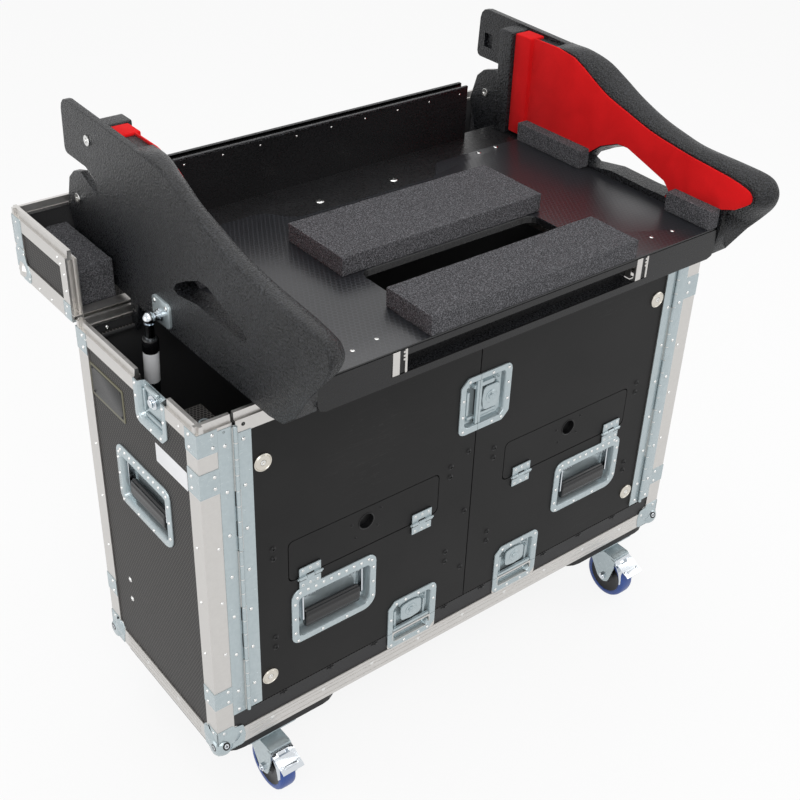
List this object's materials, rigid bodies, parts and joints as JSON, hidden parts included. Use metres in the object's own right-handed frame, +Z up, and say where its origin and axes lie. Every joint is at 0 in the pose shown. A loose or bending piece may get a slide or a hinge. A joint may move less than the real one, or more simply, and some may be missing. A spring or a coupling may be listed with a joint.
{
  "type": "mixer flight case",
  "caption": "Wheeled flight case with double doors, hinged lid and a gas-spring tray that holds a mixing console",
  "frame": {"origin": "middle of the bounding box on the floor", "axes": "+Z up, +X to the right of a person who faces the doors, +Y towards the lid"},
  "size_m": [1.0828, 0.79, 1.1116],
  "materials": {
    "laminate": "satin black honeycomb-print laminate on plywood",
    "aluminium": "satin anodised extrusion",
    "black_board": "fine-grained black laminate on plywood",
    "tray_black": "black grained moulding",
    "foam": "open black foam",
    "zinc": "bright zinc plate",
    "rubber": "ribbed black rubber",
    "spring_black": "satin black",
    "wheel_blue": "blue elastic tread on a black rim"
  },
  "bodies": {
    "base": {"base_shell": "laminate", "base_frame": "aluminium", "skid_left": "black_board", "skid_right": "black_board", "side_handle_dish_left": "zinc", "side_handle_dish_right": "zinc", "side_latch_left": "zinc", "side_latch_right": "zinc", "caster_plate_front_left": "zinc", "caster_plate_front_right": "zinc", "caster_plate_rear_left": "zinc", "caster_plate_rear_right": "zinc"},
    "door_left": {"door_left": "black_board", "door_trim_left": "aluminium", "door_handle_dish_left": "zinc", "bottom_latch_dish_left": "zinc", "top_latch_keeper": "zinc"},
    "flap_left": {"flap_left": "black_board"},
    "door_grip_left": {"door_handle_grip_left": "rubber"},
    "side_grip_left": {"side_handle_grip_left": "rubber"},
    "bottom_wing_left": {"bottom_latch_wing_left": "zinc"},
    "door_right": {"door_right": "black_board", "door_trim_right": "aluminium", "door_handle_dish_right": "zinc", "bottom_latch_dish_right": "zinc", "top_latch_dish": "zinc"},
    "flap_right": {"flap_right": "black_board"},
    "door_grip_right": {"door_handle_grip_right": "rubber"},
    "side_grip_right": {"side_handle_grip_right": "rubber"},
    "bottom_wing_right": {"bottom_latch_wing_right": "zinc"},
    "top_wing": {"top_latch_wing": "zinc"},
    "lid": {"lid_shell": "laminate", "lid_frame": "aluminium", "lid_foam_left": "foam", "lid_foam_right": "foam"},
    "tray": {"tray_pan": "tray_black", "tray_panel_left": "tray_black", "tray_panel_right": "tray_black", "tray_rail_left": "aluminium", "tray_rail_right": "aluminium", "foam_front": "foam", "foam_rear": "foam", "side_foam_front_left": "foam", "side_foam_front_right": "foam", "side_foam_rear_left": "foam", "side_foam_rear_right": "foam"},
    "spring_rod_left": {"gas_spring_rod_left": "zinc"},
    "spring_body_left": {"gas_spring_body_left": "spring_black"},
    "spring_rod_right": {"gas_spring_rod_right": "zinc"},
    "spring_body_right": {"gas_spring_body_right": "spring_black"},
    "caster_front_left": {"caster_fork_front_left": "zinc"},
    "wheel_front_left": {"caster_wheel_front_left": "wheel_blue"},
    "pedal_left": {"brake_pedal_left": "zinc"},
    "caster_front_right": {"caster_fork_front_right": "zinc"},
    "wheel_front_right": {"caster_wheel_front_right": "wheel_blue"},
    "pedal_right": {"brake_pedal_right": "zinc"},
    "caster_rear_left": {"caster_fork_rear_left": "zinc"},
    "wheel_rear_left": {"caster_wheel_rear_left": "wheel_blue"},
    "caster_rear_right": {"caster_fork_rear_right": "zinc"},
    "wheel_rear_right": {"caster_wheel_rear_right": "wheel_blue"}
  },
  "joints": [
    {"name": "door_left_hinge", "type": "hinge", "parent": "base", "child": "door_left", "pos_m": [-0.475, -0.193, 0.5043], "axis": [0, 0, -1], "range_deg": [0, 170]},
    {"name": "flap_left_hinge", "type": "hinge", "parent": "door_left", "child": "flap_left", "pos_m": [-0.231, -0.191, 0.4503], "axis": [1, 0, 0], "range_deg": [0, 90]},
    {"name": "door_grip_left_swing", "type": "hinge", "parent": "door_left", "child": "door_grip_left", "pos_m": [-0.297, -0.1792, 0.4013], "axis": [-1, 0, 0], "range_deg": [0, 90], "stiffness_Nm_per_rad": 0.25, "springref_deg": -34.38},
    {"name": "side_grip_left_swing", "type": "hinge", "parent": "base", "child": "side_grip_left", "pos_m": [-0.5252, -0.004, 0.6118], "axis": [0, 1, 0], "range_deg": [0, 90], "stiffness_Nm_per_rad": 0.25, "springref_deg": -34.38},
    {"name": "bottom_wing_left_turn", "type": "hinge", "parent": "door_left", "child": "bottom_wing_left", "pos_m": [-0.125, -0.1877, 0.2483], "axis": [0, 1, 0], "range_deg": [0, 180]},
    {"name": "door_right_hinge", "type": "hinge", "parent": "base", "child": "door_right", "pos_m": [0.475, -0.193, 0.5043], "axis": [0, 0, 1], "range_deg": [0, 170]},
    {"name": "flap_right_hinge", "type": "hinge", "parent": "door_right", "child": "flap_right", "pos_m": [0.231, -0.191, 0.4503], "axis": [1, 0, 0], "range_deg": [0, 90]},
    {"name": "door_grip_right_swing", "type": "hinge", "parent": "door_right", "child": "door_grip_right", "pos_m": [0.297, -0.1792, 0.4013], "axis": [-1, 0, 0], "range_deg": [0, 90], "stiffness_Nm_per_rad": 0.25, "springref_deg": -34.38},
    {"name": "side_grip_right_swing", "type": "hinge", "parent": "base", "child": "side_grip_right", "pos_m": [0.5252, -0.004, 0.6118], "axis": [0, -1, 0], "range_deg": [0, 90], "stiffness_Nm_per_rad": 0.25, "springref_deg": -34.38},
    {"name": "bottom_wing_right_turn", "type": "hinge", "parent": "door_right", "child": "bottom_wing_right", "pos_m": [0.128, -0.1877, 0.2483], "axis": [0, 1, 0], "range_deg": [0, 180]},
    {"name": "top_wing_turn", "type": "hinge", "parent": "door_right", "child": "top_wing", "pos_m": [0.03, -0.1877, 0.6523], "axis": [0, 1, 0], "range_deg": [0, 180]},
    {"name": "lid_hinge", "type": "hinge", "parent": "base", "child": "lid", "pos_m": [0, 0.1855, 0.7998], "axis": [1, 0, 0], "range_deg": [0, 4.5]},
    {"name": "tray_flip", "type": "hinge", "parent": "base", "child": "tray", "pos_m": [0, 0.161, 0.7843], "axis": [1, 0, 0], "range_deg": [0, 1.8]},
    {"name": "spring_left_swing", "type": "hinge", "parent": "base", "child": "spring_rod_left", "pos_m": [-0.47, 0.09, 0.3123], "axis": [1, 0, 0], "range_deg": [0, 0.269]},
    {"name": "spring_left_stroke", "type": "slide", "parent": "spring_rod_left", "child": "spring_body_left", "axis": [0, -0.0608, 0.9982], "range_m": [-0.00336, 0]},
    {"name": "spring_right_swing", "type": "hinge", "parent": "base", "child": "spring_rod_right", "pos_m": [0.47, 0.09, 0.3123], "axis": [1, 0, 0], "range_deg": [0, 0.269]},
    {"name": "spring_right_stroke", "type": "slide", "parent": "spring_rod_right", "child": "spring_body_right", "axis": [0, -0.0608, 0.9982], "range_m": [-0.00336, 0]},
    {"name": "caster_front_left_swivel", "type": "hinge", "parent": "base", "child": "caster_front_left", "pos_m": [-0.426, -0.146, 0.1143], "axis": [0, 0, 1], "continuous": true},
    {"name": "wheel_front_left_roll", "type": "hinge", "parent": "caster_front_left", "child": "wheel_front_left", "pos_m": [-0.426, -0.186, 0.05], "axis": [1, 0, 0], "continuous": true},
    {"name": "brake_pedal_left_press", "type": "hinge", "parent": "caster_front_left", "child": "pedal_left", "pos_m": [-0.426, -0.2065, 0.1038], "axis": [1, 0, 0], "range_deg": [0, 8], "stiffness_Nm_per_rad": 0.5, "springref_deg": -17.19},
    {"name": "caster_front_right_swivel", "type": "hinge", "parent": "base", "child": "caster_front_right", "pos_m": [0.426, -0.146, 0.1143], "axis": [0, 0, 1], "continuous": true},
    {"name": "wheel_front_right_roll", "type": "hinge", "parent": "caster_front_right", "child": "wheel_front_right", "pos_m": [0.426, -0.186, 0.05], "axis": [1, 0, 0], "continuous": true},
    {"name": "brake_pedal_right_press", "type": "hinge", "parent": "caster_front_right", "child": "pedal_right", "pos_m": [0.426, -0.2065, 0.1038], "axis": [1, 0, 0], "range_deg": [0, 8], "stiffness_Nm_per_rad": 0.5, "springref_deg": -17.19},
    {"name": "caster_rear_left_swivel", "type": "hinge", "parent": "base", "child": "caster_rear_left", "pos_m": [-0.426, 0.138, 0.1143], "axis": [0, 0, 1], "continuous": true},
    {"name": "wheel_rear_left_roll", "type": "hinge", "parent": "caster_rear_left", "child": "wheel_rear_left", "pos_m": [-0.426, 0.178, 0.05], "axis": [1, 0, 0], "continuous": true},
    {"name": "caster_rear_right_swivel", "type": "hinge", "parent": "base", "child": "caster_rear_right", "pos_m": [0.426, 0.138, 0.1143], "axis": [0, 0, 1], "continuous": true},
    {"name": "wheel_rear_right_roll", "type": "hinge", "parent": "caster_rear_right", "child": "wheel_rear_right", "pos_m": [0.426, 0.178, 0.05], "axis": [1, 0, 0], "continuous": true}
  ],
  "couplings": [
    {"joint": "spring_left_swing", "follows": "tray_flip", "ratio": 0.13822},
    {"joint": "spring_left_stroke", "follows": "tray_flip", "m_per_rad": -0.10057},
    {"joint": "spring_right_swing", "follows": "tray_flip", "ratio": 0.13822},
    {"joint": "spring_right_stroke", "follows": "tray_flip", "m_per_rad": -0.10057}
  ]
}
